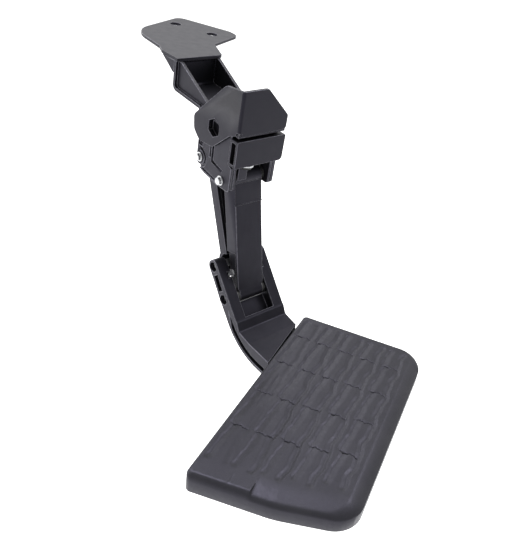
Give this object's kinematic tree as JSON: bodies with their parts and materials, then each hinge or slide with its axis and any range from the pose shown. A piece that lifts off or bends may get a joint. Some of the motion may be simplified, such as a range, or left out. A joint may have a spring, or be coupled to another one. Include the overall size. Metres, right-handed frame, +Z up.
{
  "type": "folding tailgate step",
  "caption": "Folding tailgate step: a moulded non-slip tread on a cast knuckle, swung by two pivoted links from a bracket bolted under the frame.",
  "frame": {"origin": "midway between the two frame bolt holes, on the top face of the bracket plate", "axes": "+Z up through the bolt holes, +Y inboard towards the vehicle, +X along the long side of the tread"},
  "size_m": [0.4879, 0.4992, 0.329],
  "materials": {
    "powder_steel": "satin black powder coat on sheet steel",
    "coated_casting": "satin black coated die-cast aluminium",
    "zinc_steel": "bright zinc plate",
    "bush_nylon": "self-lubricating moulded nylon",
    "buffer_rubber": "moulded rubber",
    "base_aluminium": "black anodised plate",
    "tread_plastic": "glass-filled nylon, fine matt texture"
  },
  "bodies": {
    "mount": {"frame_bracket": "powder_steel", "arm_channel": "powder_steel", "guard_plate": "powder_steel", "pivot_housing": "coated_casting", "housing_bolts": "zinc_steel", "housing_nuts": "zinc_steel", "front_tube": "powder_steel", "stop_buffer": "buffer_rubber", "buffer_plate": "zinc_steel", "front_upper_pin": "zinc_steel", "rear_upper_pin": "zinc_steel", "upper_pin_clips": "zinc_steel", "friction_washers": "zinc_steel"},
    "front_link": {"front_link": "coated_casting", "front_link_bushes": "bush_nylon", "stop_studs": "zinc_steel"},
    "rear_link": {"rear_link": "coated_casting", "rear_link_bushes": "bush_nylon"},
    "step": {"knuckle": "coated_casting", "front_lower_pin": "zinc_steel", "rear_lower_pin": "zinc_steel", "lower_pin_clips": "zinc_steel", "thrust_washers": "zinc_steel", "step_base": "base_aluminium", "tread": "tread_plastic", "step_bolts": "zinc_steel", "step_washers": "zinc_steel", "tread_screws": "zinc_steel"}
  },
  "joints": [
    {"name": "front_link_fold", "type": "hinge", "parent": "mount", "child": "front_link", "pos_m": [-0.15068, -0.1704, -0.1121], "axis": [0.91, -0.4147, 0], "range_deg": [0, 70]},
    {"name": "rear_link_fold", "type": "hinge", "parent": "mount", "child": "rear_link", "pos_m": [-0.13227, -0.12999, -0.1002], "axis": [0.91, -0.4147, 0], "range_deg": [-0.5, 82.5]},
    {"name": "knuckle_fold", "type": "hinge", "parent": "front_link", "child": "step", "pos_m": [-0.16818, -0.2088, -0.2633], "axis": [0.91, -0.4147, 0], "range_deg": [-88, 0.5]}
  ],
  "couplings": [
    {"joint": "rear_link_fold", "follows": "front_link_fold", "ratio": 1.17},
    {"joint": "knuckle_fold", "follows": "front_link_fold", "ratio": -1.25}
  ]
}
